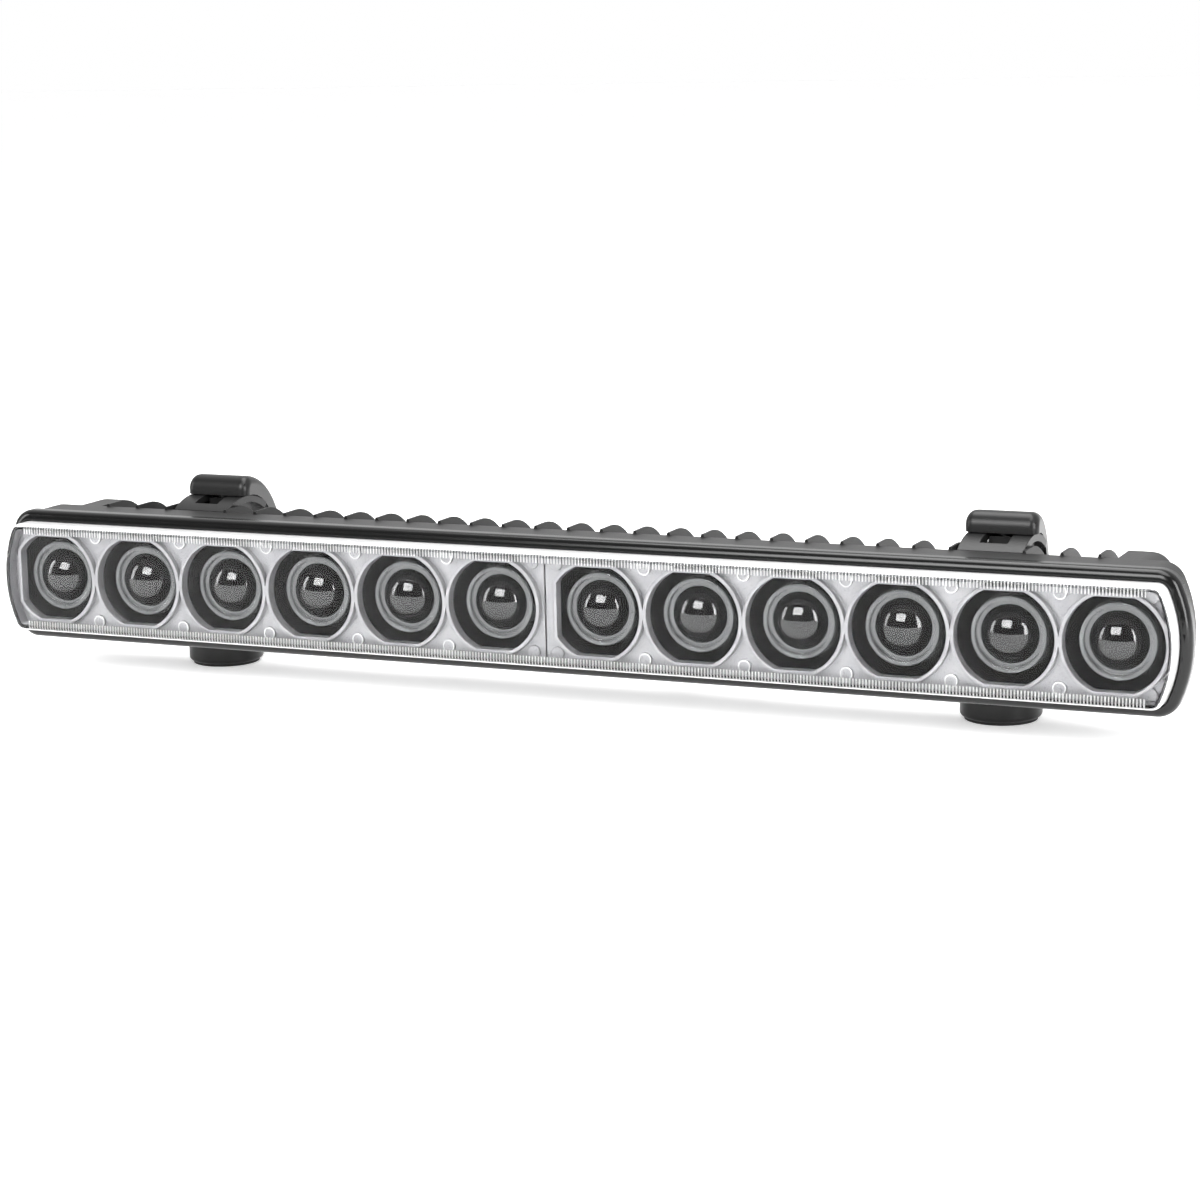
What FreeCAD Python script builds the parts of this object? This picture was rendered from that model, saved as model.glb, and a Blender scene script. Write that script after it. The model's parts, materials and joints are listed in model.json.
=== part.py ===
"""Slim LED light bar on two tilting brackets, in millimetres.

The bar lies along X, shines towards -Y and has +Z up. The origin lies between the two mounting
holes, on the plane that the brackets' feet are bolted to. The bar tilts about an axis parallel
to X that passes straight above the origin. Depths (y) and heights (z) below are measured from
that tilt axis, and the helpers lift each piece by the height of the axis.
"""
import FreeCAD, Part
import math
import os
import Sketcher

SIZES = {
    # outline of the bar, seen from the front
    "bar_length": 470,
    "bar_height": 50.6,
    "corner_radius": 8.5,
    "end_radius": 50,
    "axis_rise": 12.7,              # tilt axis above half the bar's height
    # bezel frame round the cover
    "frame_width": 3.9,
    "frame_depth": 6.5,
    "frame_roll": 3.4,
    "frame_lip": 2.6,
    # clear cover and its seal
    "cover_proud": 8,
    "cover_wall": 1.8,
    "cover_lip": 2,
    "cover_lip_thickness": 1.6,
    "cover_edge_radius": 2.4,
    "seal_thickness": 2.1,
    "fit_gap": 0.3,
    # die-cast housing
    "joint_ahead": 31.5,
    "flange_inset": 0.4,
    "flange_depth": 14,
    "flange_edge": 0.8,
    "cavity_wall": 5.1,
    "cavity_depth": 10.3,
    "trough_depth": 10.3,           # from the bar's edge down to the core between the fins
    "core_depth": 22.5,
    "core_step": 0.4,
    "end_block_length": 31,
    "flange_end_step": 2.5,         # how far the ends of the flange and the core lie inside the frame's
    "core_end_step": 10.8,
    "fin_pitch": 13.25,
    "fin_proud": 0.7,
    "fin_root": 5.2,
    "fin_tip": 1,
    "fin_rear": 3,
    "fin_round": 17,
    # optics
    "lens_end_margin": 25.2,        # from the bar's end to the centre of its last lens
    "module_gap": 2.7,
    "opening_radius": 17.7,
    "opening_border": 9,
    "module_cut": 14.7,
    "collar_wall": 1.3,
    "collar_height": 2.6,
    "rim_ahead": 42,
    "plate_thickness": 1.4,
    "boss_radius": 2.4,
    "boss_height": 0.8,
    "boss_border": 8.8,
    "holder_border": 7.3,
    "holder_depth": 11.7,
    "seat_radius": 14,
    "seat_depth": 5.5,
    "dome_radius": 10.4,
    "dome_height": 7,
    "lens_flange_radius": 13.4,
    "lens_flange_thickness": 2.5,
    "lens_stem_radius": 9,
    "lens_stem_length": 6.5,
    # light-source boards
    "board_border": 6.9,
    "board_thickness": 1.6,
    "pad_thickness": 0.6,
    "chip_size": 3.5,
    "chip_height": 1,
    "screw_radius": 1.5,
    "screw_clearance": 0.15,
    "screw_head_radius": 2.8,
    "screw_head_height": 1.8,
    # driver compartment and rear cover
    "driver_length": 124,
    "driver_border": 4,
    "driver_floor": 2.5,
    "rear_cover_margin": 7,
    "rear_cover_thickness": 2.5,
    "rear_seal_thickness": 0.8,
    "gland_radius": 6,
    "cable_radius": 3.5,
    # brackets
    "bracket_inset": 76,            # from the bar's end to the middle of a bracket
    "bracket_width": 28,
    "bracket_tail_width": 16,
    "saddle_rise": 3.3,
    "saddle_thickness": 2.6,
    "saddle_width": 23.8,
    "saddle_body_width": 19,
    "slot_width": 10,
    "arm_gap": 0.3,
    "arm_thickness": 3.5,
    "hood_rise": 7.6,
    "hood_wall": 1.6,
    "hood_edge_radius": 3.2,
    "hood_nose_radius": 5.5,
    "foot_radius": 14.65,
    "foot_pad_thickness": 1,
    "insert_radius": 5.5,
    "insert_length": 8.6,
    "thread_radius": 3.35,
    "clamp_radius": 3,
    "clamp_setback": 4,
    "clamp_head_height": 2.1,
}

LENSES = 6                  # in each of the two optical modules
SADDLE_FRONT = 31           # degrees that the saddle reaches ahead of the top of the tilt circle
SADDLE_REAR = 34
SLOT_FRONT = 21
SLOT_REAR = 30.5
HOOD_REAR = 56              # degrees behind the top at which the hood ends
TILT_DOWN = 12              # degrees that the bar can look down

doc = FreeCAD.newDocument("light_bar")
sheet = doc.addObject("Spreadsheet::Sheet", "Sizes")
nodes = {}


class Size:
    """A length together with the sheet expression that it follows."""

    def __init__(self, value, text):
        self.value = float(value)
        self.text = text

    @staticmethod
    def of(thing):
        return thing if isinstance(thing, Size) else Size(thing, f"{thing:.6g}")

    def join(self, sign, other, value):
        return Size(value, f"({self.text} {sign} {Size.of(other).text})")

    def __add__(self, other):
        return self.join("+", other, self.value + Size.of(other).value)

    def __sub__(self, other):
        return self.join("-", other, self.value - Size.of(other).value)

    def __mul__(self, other):
        return self.join("*", other, self.value * Size.of(other).value)

    def __truediv__(self, other):
        return self.join("/", other, self.value / Size.of(other).value)

    def __neg__(self):
        return Size(-self.value, f"(0 - {self.text})")

    __radd__ = __add__
    __rmul__ = __mul__


class Sheet:
    """The driving sizes by name."""

    def __init__(self, table):
        for row, (name, value) in enumerate(table.items(), start=1):
            sheet.set(f"A{row}", name)
            sheet.set(f"B{row}", str(value))
            sheet.setAlias(f"B{row}", name)
            setattr(self, name, Size(value, f"Sizes.{name}"))


S = Sheet(SIZES)
half_height = S.bar_height / 2
axis_height = half_height + S.axis_rise
half_core = half_height - S.trough_depth
fin_reach = half_height + S.fin_proud
half_fin_zone = S.bar_length / 2 - S.end_block_length
lens_pitch = (S.bar_length / 2 - S.module_gap / 2 - S.lens_end_margin) / (LENSES - 0.5)
opening_flat = half_height - S.opening_border
boss_offset = half_height - S.boss_border
half_holder = half_height - S.holder_border
half_board = half_height - S.board_border
half_driver = half_core - S.driver_border
bracket_x = S.bar_length / 2 - S.bracket_inset
saddle_radius = half_height + S.saddle_rise
hood_radius = saddle_radius + S.hood_rise
clamp_seat = saddle_radius + S.arm_gap + 2          # underside of the clamp screw's head
doc.recompute()


# ---- helpers: primitives whose sizes and places follow the sheet

def bind(item, prop, size):
    """Set a property from a size and keep it tied to the sheet."""
    item.setExpression(prop, Size.of(size).text)


def place(item, x, y, z):
    bind(item, "Placement.Base.x", x)
    bind(item, "Placement.Base.y", y)
    bind(item, "Placement.Base.z", axis_height + z)


def block(name, x, y, z):
    """Box between two places on each axis."""
    box = doc.addObject("Part::Box", name)
    bind(box, "Length", Size.of(x[1]) - x[0])
    bind(box, "Width", Size.of(y[1]) - y[0])
    bind(box, "Height", Size.of(z[1]) - z[0])
    place(box, x[0], y[0], z[0])
    return box


TURNS = {"x": FreeCAD.Rotation(FreeCAD.Vector(0, 1, 0), 90),
         "y": FreeCAD.Rotation(FreeCAD.Vector(1, 0, 0), -90),
         "z": FreeCAD.Rotation()}


def rod(name, axis, at, radius, length):
    """Cylinder from a point, along +axis."""
    cylinder = doc.addObject("Part::Cylinder", name)
    cylinder.Placement = FreeCAD.Placement(FreeCAD.Vector(), TURNS[axis])
    bind(cylinder, "Radius", radius)
    bind(cylinder, "Height", length)
    place(cylinder, *at)
    return cylinder


def cone(name, axis, at, radius, end_radius, length):
    item = doc.addObject("Part::Cone", name)
    item.Placement = FreeCAD.Placement(FreeCAD.Vector(), TURNS[axis])
    bind(item, "Radius1", radius)
    bind(item, "Radius2", end_radius)
    bind(item, "Height", length)
    place(item, *at)
    return item


def fuse(name, *items):
    item = doc.addObject("Part::MultiFuse", name)
    item.Shapes = list(items)
    item.Refine = True
    return item


def common(name, *items):
    item = doc.addObject("Part::MultiCommon", name)
    item.Shapes = list(items)
    return item


def cut(name, base, *tools):
    item = doc.addObject("Part::Cut", name)
    item.Base = base
    item.Tool = tools[0] if len(tools) == 1 else fuse(name + "_tools", *tools)
    item.Refine = True
    return item


def group(name, *items):
    """Several separate solids kept as one sub-part."""
    item = doc.addObject("Part::Compound", name)
    item.Links = list(items)
    return item


def round_edges(name, base, radius, wanted):
    """Fillet the edges for which wanted(edge) is true."""
    doc.recompute()
    picked = [n for n, edge in enumerate(base.Shape.Edges, start=1) if wanted(edge)]
    item = doc.addObject("Part::Fillet", name)
    item.Base = base
    item.Edges = [(n, radius.value, radius.value) for n in picked]
    return item


def sub_part(node, item):
    """Register a finished piece under the name of its node."""
    item.Label = node
    nodes[node] = item


# ---- helpers: sketched bodies, extruded along one axis

PLANES = {"y": "XZ_Plane", "x": "YZ_Plane", "z": "XY_Plane"}
NORMAL = {"y": -1, "x": 1, "z": 1}


def new_body(name):
    body = doc.addObject("PartDesign::Body", name)
    bind(body, "Placement.Base.z", axis_height)
    return body


def new_sketch(body, name, axis, at):
    """Sketch on the plane across an axis, at a distance along it."""
    plane = next(f for f in body.Origin.OriginFeatures if f.Role == PLANES[axis])
    sketch = body.newObject("Sketcher::SketchObject", name)
    sketch.AttachmentSupport = (plane, "")
    sketch.MapMode = "FlatFace"
    bind(sketch, "AttachmentOffset.Base.z", Size.of(at) * NORMAL[axis])
    return sketch


def pin_point(sketch, geometry, point, x, y):
    """Tie one end of a sketch line to a place in the sketch."""
    for kind, size in (("DistanceX", Size.of(x)), ("DistanceY", Size.of(y))):
        row = sketch.addConstraint(Sketcher.Constraint(kind, -1, 1, geometry, point, size.value))
        sketch.setExpression(f"Constraints[{row}]", size.text)


def polygon(*corners):
    """Closed outline through corners, each corner tied to the sheet."""
    def draw(sketch):
        places = [FreeCAD.Vector(Size.of(x).value, Size.of(y).value) for x, y in corners]
        for start, end in zip(places, places[1:] + places[:1]):
            sketch.addGeometry(Part.LineSegment(start, end), False)
        for n, (x, y) in enumerate(corners):
            sketch.addConstraint(Sketcher.Constraint("Coincident", n - 1 if n else len(corners) - 1, 2, n, 1))
            pin_point(sketch, n, 1, x, y)
    return draw


def bar_outline(inset, shortening=0):
    """The bar's front outline, drawn in by inset: straight sides, small corners, gently curved ends."""
    def draw(sketch):
        half = S.bar_length / 2 - inset - shortening
        rise = S.bar_height / 2 - inset
        corner = S.corner_radius - inset
        end = S.end_radius - inset
        end_centre = half - end
        lift = rise.value - corner.value
        reach = math.sqrt((end.value - corner.value) ** 2 - lift ** 2)
        lean = math.atan2(lift, reach)
        across = end_centre.value + reach
        up = FreeCAD.Vector(0, 0, 1)

        def arc(x, y, radius, start, stop):
            ring = Part.Circle(FreeCAD.Vector(x, y), up, radius)
            return Part.ArcOfCircle(ring, start, stop)

        quarter = math.pi / 2
        far = math.pi
        pieces = [
            Part.LineSegment(FreeCAD.Vector(-across, -rise.value), FreeCAD.Vector(across, -rise.value)),
            arc(across, -lift, corner.value, -quarter, -lean),
            arc(end_centre.value, 0, end.value, -lean, lean),
            arc(across, lift, corner.value, lean, quarter),
            Part.LineSegment(FreeCAD.Vector(across, rise.value), FreeCAD.Vector(-across, rise.value)),
            arc(-across, lift, corner.value, quarter, far - lean),
            arc(-end_centre.value, 0, end.value, far - lean, far + lean),
            arc(-across, -lift, corner.value, far + lean, far + quarter),
        ]
        for piece in pieces:
            sketch.addGeometry(piece, False)
        for n in range(len(pieces)):
            sketch.addConstraint(Sketcher.Constraint("Tangent", n, 2, (n + 1) % len(pieces), 1))
        for n in (0, 4):
            sketch.addConstraint(Sketcher.Constraint("Horizontal", n))
        for n in (3, 5, 7):
            sketch.addConstraint(Sketcher.Constraint("Equal", 1, n))
        sketch.addConstraint(Sketcher.Constraint("Equal", 2, 6))
        driven = (
            (Sketcher.Constraint("DistanceY", -1, 1, 4, 1, rise.value), rise),
            (Sketcher.Constraint("DistanceY", -1, 1, 0, 1, -rise.value), -rise),
            (Sketcher.Constraint("Radius", 1, corner.value), corner),
            (Sketcher.Constraint("Radius", 2, end.value), end),
            (Sketcher.Constraint("DistanceX", -1, 1, 2, 3, end_centre.value), end_centre),
            (Sketcher.Constraint("DistanceX", -1, 1, 6, 3, -end_centre.value), -end_centre),
        )
        for constraint, size in driven:
            row = sketch.addConstraint(constraint)
            sketch.setExpression(f"Constraints[{row}]", size.text)
        for n in (2, 6):
            sketch.addConstraint(Sketcher.Constraint("PointOnObject", n, 3, -1))
    return draw


def pad(body, name, axis, start, end, draw):
    """Add material from start to end along an axis."""
    sketch = new_sketch(body, name + "_sketch", axis, start)
    draw(sketch)
    feature = body.newObject("PartDesign::Pad", name)
    feature.Profile = sketch
    length = Size.of(end) - start
    with_normal = length.value * NORMAL[axis] > 0
    bind(feature, "Length", length if length.value > 0 else -length)
    feature.Reversed = not with_normal
    return feature


def pocket(body, name, axis, start, end, draw):
    """Take material away from start to end along an axis."""
    sketch = new_sketch(body, name + "_sketch", axis, start)
    draw(sketch)
    feature = body.newObject("PartDesign::Pocket", name)
    feature.Profile = sketch
    length = Size.of(end) - start
    with_normal = length.value * NORMAL[axis] > 0
    bind(feature, "Length", length if length.value > 0 else -length)
    feature.Reversed = with_normal
    return feature


def prism(name, axis, start, end, draw):
    """Body with a single pad."""
    body = new_body(name)
    pad(body, name + "_pad", axis, start, end, draw)
    return body


def rectangle(x, z):
    return polygon((x[0], z[0]), (x[1], z[0]), (x[1], z[1]), (x[0], z[1]))


# ---- stations along the depth of the bar, from the tilt axis

joint = -S.joint_ahead                              # front face of the housing
frame_front = joint - S.frame_depth
cover_front = frame_front - S.cover_proud
flange_back = joint + S.flange_depth
core_back = flange_back + S.core_depth
cavity_floor = joint + S.cavity_depth
rim = -S.rim_ahead                                  # front edge of the collars round the lenses
plate_front = rim + S.collar_height
plate_back = plate_front + S.plate_thickness
holder_front = plate_back + S.fit_gap
holder_back = holder_front + S.holder_depth
lens_seat = holder_back - S.seat_depth              # plane on which the lens flange rests
board_back = cavity_floor - S.pad_thickness
board_front = board_back - S.board_thickness
driver_front = core_back - (S.core_depth - S.driver_floor)

cover_inset = S.frame_width + S.fit_gap
cover_inner = cover_inset + S.cover_wall
cover_lip_inset = cover_inset - S.cover_lip
cavity_inset = S.flange_inset + S.cavity_wall
saddle_floor = 0.8                                  # metal between the core and a saddle screw's head


def lens_x(module, n):
    """Centre of lens n (0 to 5, from the left) in the left (0) or right (1) module."""
    start = (S.module_gap + lens_pitch) / 2
    if module == 1:
        return start + lens_pitch * n
    return -start - lens_pitch * (LENSES - 1 - n)


# ---- housing: die-cast box with a front flange, end blocks and a comb of cooling fins

def fin_numbers():
    """All fins that fit between the end blocks, but those in the way of the two brackets' saddles."""
    pairs = int((half_fin_zone.value - S.fin_root.value) / S.fin_pitch.value)
    room = max(S.saddle_body_width.value + S.fin_root.value, S.saddle_width.value + S.fin_tip.value) / 2
    room += S.fit_gap.value
    return [n for n in range(-pairs, pairs + 1)
            if abs(abs(n) * S.fin_pitch.value - bracket_x.value) > room]


def make_fins():
    """Fins drafted to a thin tip above and below, and rounded towards the rear."""
    fins = []
    for n in fin_numbers():
        middle = S.fin_pitch * n
        root = S.fin_root / 2
        tip = S.fin_tip / 2
        outline = polygon(
            (middle - root, -half_core), (middle - tip, -fin_reach), (middle + tip, -fin_reach),
            (middle + root, -half_core), (middle + root, half_core), (middle + tip, fin_reach),
            (middle - tip, fin_reach), (middle - root, half_core))
        fins.append(prism(f"fin_{n}", "y", flange_back - 1, core_back + S.fin_rear, outline))
    comb = fuse("fin_comb", *fins)
    rear = core_back + S.fin_rear
    envelope = block("fin_envelope", (-half_fin_zone, half_fin_zone), (flange_back - 2, rear),
                     (-fin_reach, fin_reach))
    rounded = round_edges("fin_envelope_rounded", envelope, S.fin_round, rear_long_edge)
    return common("fins", comb, rounded)


def rear_long_edge(edge):
    """Edges along X on the rear face of a block."""
    box = edge.BoundBox
    return box.XLength > 100 and box.YMin > flange_back.value


def make_housing():
    shell = new_body("housing_shell")
    pad(shell, "flange", "y", flange_back, joint, bar_outline(S.flange_inset, S.flange_end_step))
    pad(shell, "core", "y", core_back, flange_back, bar_outline(S.flange_inset + S.core_step, S.core_end_step))
    for side, name in ((1, "upper"), (-1, "lower")):
        trough = rectangle((-half_fin_zone, half_fin_zone), (half_core * side, half_height * side))
        pocket(shell, name + "_trough", "y", core_back, flange_back, trough)
    pocket(shell, "cavity", "y", joint, cavity_floor, bar_outline(cavity_inset))
    doc.recompute()
    shoulders = round_edges("housing_shoulders", shell, S.corner_radius / 2, end_block_edge)
    shoulders = round_edges("housing_edge", shoulders, S.flange_edge, flange_front_edge)
    ribbed = fuse("housing_ribbed", shoulders, make_fins())
    half_bay = S.driver_length / 2
    half_rise = half_driver
    bay = block("driver_bay", (-half_bay, half_bay), (driver_front, core_back + 1), (-half_rise, half_rise))
    margin = S.rear_cover_margin + S.fit_gap
    seat = block("rear_cover_seat", (-half_bay - margin, half_bay + margin),
                 (core_back, core_back + S.fin_rear + 1),
                 (-half_core, half_core))
    ports = [rod(f"link_port_{n}", "y", (x, cavity_floor - 1, 0), S.screw_radius * 2,
                 driver_front - cavity_floor + 2) for n, x in enumerate(link_places())]
    taps = board_shanks("board_tap", tap, cavity_floor - 1, board_grip + 1.4)
    taps += rear_cover_shanks("rear_tap", tap, core_back - rear_grip - 0.4, rear_grip + 1)
    taps += [shank for side in (-1, 1) for level in (-1, 1)
             for shank in saddle_shanks("saddle_tap", side, level, tap, half_core - saddle_grip - 0.4,
                                        saddle_grip + 1)]
    nut_room = gland_nut_room("gland_nut_room", core_back - gland_reach, core_back + 1)
    sub_part("housing", cut("housing_cut", ribbed, bay, seat, nut_room, *ports, *taps))


def end_block_edge(edge):
    """Rear edge of the solid block at each end of the core."""
    box = edge.BoundBox
    beyond = abs(box.Center.x) > half_fin_zone.value
    return beyond and box.YMin > core_back.value - 0.1 and box.YLength < 0.1


def flange_front_edge(edge):
    """Outer edge of the flange where it meets the frame."""
    box = edge.BoundBox
    if box.YMax > joint.value + 0.1:
        return False
    outer_height = S.bar_height.value / 2 - S.cavity_wall.value
    outer_length = S.bar_length.value / 2 - S.cavity_wall.value
    return max(abs(box.ZMin), abs(box.ZMax)) > outer_height or max(abs(box.XMin), abs(box.XMax)) > outer_length


def link_places():
    """Where the driver's pins pass through to the two light-source boards."""
    return [-lens_pitch, lens_pitch]


def board_screw_places():
    """Two screws in each web between neighbouring lenses, on every second web."""
    rise = half_board - S.screw_head_radius - 0.8
    return [((lens_x(module, n) + lens_x(module, n + 1)) / 2, rise * side)
            for module in (0, 1) for n in (0, 2, 4) for side in (-1, 1)]


def board_shanks(name, radius, start, length):
    return [rod(f"{name}_{n}", "y", (x, start, z), radius, length)
            for n, (x, z) in enumerate(board_screw_places())]


def rear_cover_shanks(name, radius, start, length):
    """Four shanks along Y, in the margin at the ends of the rear cover."""
    across = S.driver_length / 2 + S.rear_cover_margin / 2
    rise = half_core - S.screw_head_radius - 1.5
    places = [(across * side, rise * level) for side in (-1, 1) for level in (-1, 1)]
    return [rod(f"{name}_{n}", "y", (x, start, z), radius, length) for n, (x, z) in enumerate(places)]


def gland_nut_room(name, start, end):
    """Round room for the gland's nut, which is taller than the bay when the bar is low."""
    return rod(name, "y", (gland_x, start, 0), gland_nut_radius + S.fit_gap, end - start)


def saddle_shanks(name, side, level, radius, start, length):
    """Two shanks along Z that hold a saddle on the core, from start outwards."""
    base = start if level > 0 else -start - length
    return [rod(f"{name}_{side}_{level}_{n}", "z", (bracket_x * side, y, base), radius, length)
            for n, y in enumerate(saddle_screw_places)]


tap = S.screw_radius + 0.05
board_grip = 3.2
rear_grip = 5.6
saddle_grip = 5.6
saddle_screw_places = (flange_back + 4.5, 0)
gland_x = S.driver_length / 4
gland_reach = 5
gland_nut_radius = S.gland_radius + 2.4
make_housing()


# ---- bezel frame: a half-round moulding that holds the cover down on its seal

def make_frame():
    frame = new_body("frame")
    pad(frame, "frame_ring", "y", joint, frame_front, bar_outline(0))
    pocket(frame, "frame_window", "y", joint, frame_front, bar_outline(S.frame_width))
    rebate = frame_front + S.frame_lip
    pocket(frame, "frame_rebate", "y", joint, rebate, bar_outline(cover_lip_inset - S.fit_gap))
    rolled = round_edges("frame_rolled", frame, S.frame_roll, lambda e: on_front(e, frame_front, 1))
    sub_part("front_frame", round_edges("frame_softened", rolled, S.frame_lip / 5,
                                        lambda e: on_front(e, frame_front, S.frame_width + 1)))


def on_front(edge, station, inset):
    """Edges of a bar outline at one station, no further in than an inset."""
    box = edge.BoundBox
    inset = Size.of(inset).value
    if box.YLength > 0.01 or abs(box.YMin - station.value) > 0.01:
        return False
    height = S.bar_height.value / 2 - inset
    length = S.bar_length.value / 2 - inset
    centre_z = abs(box.Center.z - axis_height.value)
    tall = centre_z + box.ZLength / 2 > height
    wide = max(abs(box.XMin), abs(box.XMax)) > length
    return tall or wide


make_frame()


# ---- clear cover: a moulded cap with a lip under the frame, on a flat rubber seal

def make_cover():
    cover_back = joint - S.seal_thickness
    cover = new_body("cover")
    pad(cover, "cover_cap", "y", cover_back, cover_front, bar_outline(cover_inset))
    pad(cover, "cover_flange", "y", cover_back, cover_back - S.cover_lip_thickness,
        bar_outline(cover_lip_inset))
    pocket(cover, "cover_hollow", "y", cover_back, cover_front + S.cover_wall, bar_outline(cover_inner))
    sub_part("front_cover", round_edges("cover_rounded", cover, S.cover_edge_radius,
                                        lambda e: on_front(e, cover_front, cover_inset + 1)))
    seal = new_body("seal")
    pad(seal, "seal_band", "y", joint, cover_back, bar_outline(cover_lip_inset))
    pocket(seal, "seal_hollow", "y", joint, cover_back, bar_outline(cavity_inset))
    sub_part("cover_seal", seal)


make_cover()


# ---- optics: in each module a silver mask, a moulded holder and six domed lenses

SIDES = ("left", "right")
half_gap = S.fit_gap


def module_span(module, margin):
    """Ends of a module along X, with the bar's outline taking care of the outer end."""
    if module == 1:
        return (Size.of(margin), S.bar_length / 2)
    return (-S.bar_length / 2, -Size.of(margin))


def module_slab(name, module, start, end, inset, height):
    """Slab of one module, cut to the bar's outline."""
    outline = prism(name + "_outline", "y", end, start, bar_outline(inset))
    span = block(name + "_span", module_span(module, half_gap), (start, end), (-height, height))
    return common(name + "_slab", outline, span)


def opening(name, module, n, grow, start, end):
    """Lens opening: a circle with its top and bottom cut flat, and one side at the module's left lens."""
    x = lens_x(module, n)
    round_hole = rod(name + "_round", "y", (x, start, 0), S.opening_radius + grow, Size.of(end) - start)
    left = x - S.module_cut - grow if n == 0 else x - S.opening_radius * 2
    flat = opening_flat + grow
    window = block(name + "_window", (left, x + S.opening_radius * 2), (start, end), (-flat, flat))
    return common(name, round_hole, window)


def boss_places(module):
    """Pins of the mask: between neighbouring lenses, and in the module's corners."""
    gaps = [(lens_x(module, n) + lens_x(module, n + 1)) / 2 for n in range(LENSES - 1)]
    inner = S.boss_radius * 2
    outer = S.bar_length / 2 - S.boss_radius * 5.5
    ends = (inner, outer) if module == 1 else (-outer, -inner)
    return [(x, boss_offset * level) for x in (*gaps, *ends) for level in (-1, 1)]


def make_mask(module):
    name = f"mask_{SIDES[module]}"
    plate = module_slab(name, module, plate_front, plate_back, cover_inner + S.fit_gap,
                        S.bar_height / 2)
    collars = [opening(f"{name}_collar_{n}", module, n, S.collar_wall, rim, plate_back) for n in range(LENSES)]
    holes = [opening(f"{name}_hole_{n}", module, n, 0, rim - 1, plate_back + 1) for n in range(LENSES)]
    bosses = [rod(f"{name}_boss_{n}", "y", (x, plate_front - S.boss_height, z), S.boss_radius,
                  S.boss_height + S.plate_thickness)
              for n, (x, z) in enumerate(boss_places(module))]
    raised = fuse(name + "_raised", plate, *collars, *bosses)
    limit = module_slab(name + "_limit", module, rim, plate_back, cover_inner + S.fit_gap,
                        S.bar_height / 2)
    trimmed = common(name + "_trimmed", raised, limit)
    sub_part(f"lens_mask_{SIDES[module]}", cut(name + "_cut", trimmed, *holes))


def make_holder(module):
    name = f"holder_{SIDES[module]}"
    slab = module_slab(name, module, holder_front, holder_back, cover_inner + S.fit_gap * 2,
                       half_holder)
    wells = []
    for n in range(LENSES):
        x = lens_x(module, n)
        wells.append(cone(f"{name}_well_{n}", "y", (x, holder_front, 0), S.opening_radius - 0.2,
                          S.seat_radius, lens_seat - holder_front))
        wells.append(rod(f"{name}_throat_{n}", "y", (x, lens_seat - 1, 0), S.lens_stem_radius + S.fit_gap,
                         S.seat_depth + 2))
    posts = [rod(f"{name}_post_{n}", "y", ((lens_x(module, n) + lens_x(module, n + 1)) / 2, holder_back - 1,
                                           boss_offset * level), S.boss_radius * 0.7,
                 board_front - holder_back + 1)
             for n in (1, 3) for level in (-1, 1)]
    hollowed = cut(name + "_hollowed", slab, *wells)
    sub_part(f"lens_holder_{SIDES[module]}", fuse(name + "_posts", hollowed, *posts))


def make_lens(module, n):
    number = module * LENSES + n + 1
    name = f"lens_{number:02d}"
    x = lens_x(module, n)
    flange_front = lens_seat - S.lens_flange_thickness
    disc = rod(name + "_disc", "y", (x, flange_front, 0), S.lens_flange_radius, S.lens_flange_thickness)
    stem = rod(name + "_stem", "y", (x, lens_seat, 0), S.lens_stem_radius, S.lens_stem_length)
    radius = (S.dome_radius * S.dome_radius + S.dome_height * S.dome_height) / (S.dome_height * 2)
    ball = doc.addObject("Part::Sphere", name + "_ball")
    bind(ball, "Radius", radius)
    place(ball, x, flange_front - S.dome_height + radius, 0)
    limit = rod(name + "_limit", "y", (x, flange_front - S.dome_height - 1, 0), S.dome_radius,
                S.dome_height + 1)
    dome = common(name + "_dome", ball, limit)
    rise = S.lens_flange_thickness * 0.8
    rim_outer = rod(name + "_rim", "y", (x, flange_front - rise, 0), S.lens_flange_radius, rise)
    rim_inner = rod(name + "_rim_bore", "y", (x, flange_front - rise - 1, 0), S.lens_flange_radius - 1.5,
                    rise + 1)
    wall = cut(name + "_wall", rim_outer, rim_inner)
    sub_part(name, fuse(name + "_body", disc, stem, dome, wall))


def make_board(module):
    """Aluminium-core board with its light sources, on a soft heat pad, held by screws."""
    side = SIDES[module]
    height = half_board
    inset = cavity_inset + S.fit_gap * 2
    near = [(x, z) for x, z in board_screw_places() if (x.value > 0) == (module == 1)]

    def drilled(name, start, end, radius, port):
        slab = module_slab(name, module, start, end, inset, height)
        tools = [rod(f"{name}_hole_{n}", "y", (x, start - 1, z), radius, end - start + 2)
                 for n, (x, z) in enumerate(near)]
        if port:
            tools.append(rod(f"{name}_port", "y", (link_places()[module], start - 1, 0), S.screw_radius * 2,
                             end - start + 2))
        return cut(name + "_drilled", slab, *tools)

    clear = S.screw_radius + S.screw_clearance
    sub_part(f"led_board_{side}", drilled(f"board_{side}", board_front, board_back, clear, False))
    sub_part(f"heat_pad_{side}", drilled(f"pad_{side}", board_back, cavity_floor, clear, True))
    half_chip = S.chip_size / 2
    chips = [block(f"chip_{side}_{n}", (lens_x(module, n) - half_chip, lens_x(module, n) + half_chip),
                   (board_front - S.chip_height, board_front), (-half_chip, half_chip))
             for n in range(LENSES)]
    sub_part(f"led_chips_{side}", group(f"chips_{side}", *chips))


def make_board_screws():
    heads = [rod(f"board_head_{n}", "y", (x, board_front - S.screw_head_height, z), S.screw_head_radius,
                 S.screw_head_height) for n, (x, z) in enumerate(board_screw_places())]
    shanks = board_shanks("board_shank", S.screw_radius, board_front, cavity_floor - board_front + board_grip)
    screws = [fuse(f"board_screw_{n}", *pair) for n, pair in enumerate(zip(heads, shanks))]
    sub_part("board_screws", group("board_screw_set", *screws))


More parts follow.
